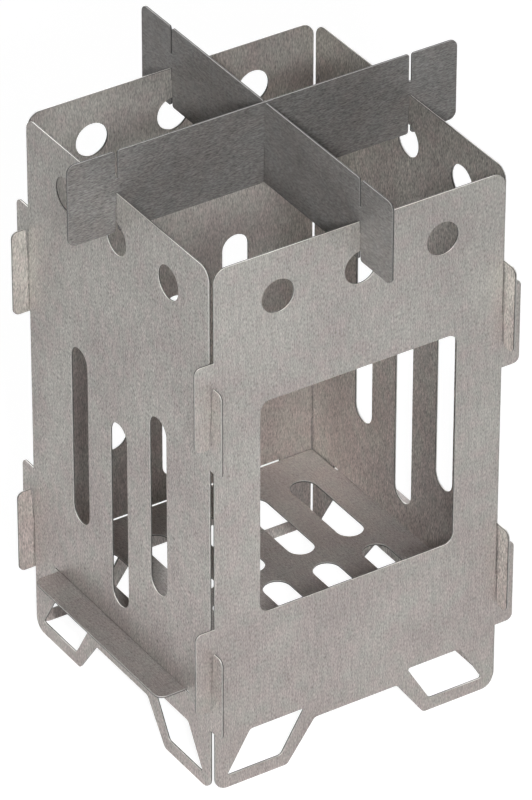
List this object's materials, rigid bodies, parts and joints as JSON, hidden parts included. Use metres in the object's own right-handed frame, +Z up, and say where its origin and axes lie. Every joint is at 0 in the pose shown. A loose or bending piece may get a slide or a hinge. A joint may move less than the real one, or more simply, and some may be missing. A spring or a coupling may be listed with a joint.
{
  "type": "wood stove",
  "caption": "Square slot-together pocket wood stove of thin steel sheet: four hooked walls on cut-out feet, a slotted floor and two crossed plates that carry a pot.",
  "frame": {"origin": "on the ground, at the middle of the square box", "axes": "+Z up, the fuel window faces -Y, the floor's tongues stand out along -X and +X"},
  "size_m": [0.158, 0.158, 0.232],
  "materials": {
    "wall_steel": "satin, fine upright grain",
    "floor_steel": "satin",
    "plate_steel": "satin"
  },
  "bodies": {
    "stove_box": {"front_panel": "wall_steel", "right_panel": "wall_steel", "back_panel": "wall_steel", "left_panel": "wall_steel", "floor_grate": "floor_steel"},
    "lower_plate": {"lower_pot_plate": "plate_steel"},
    "upper_plate": {"upper_pot_plate": "plate_steel"}
  },
  "joints": [
    {"name": "lower_plate_lift", "type": "slide", "parent": "stove_box", "child": "lower_plate", "axis": [0, 0, 1], "range_m": [0, 0.04]},
    {"name": "upper_plate_lift", "type": "slide", "parent": "lower_plate", "child": "upper_plate", "axis": [0, 0, 1], "range_m": [0, 0.04]}
  ]
}
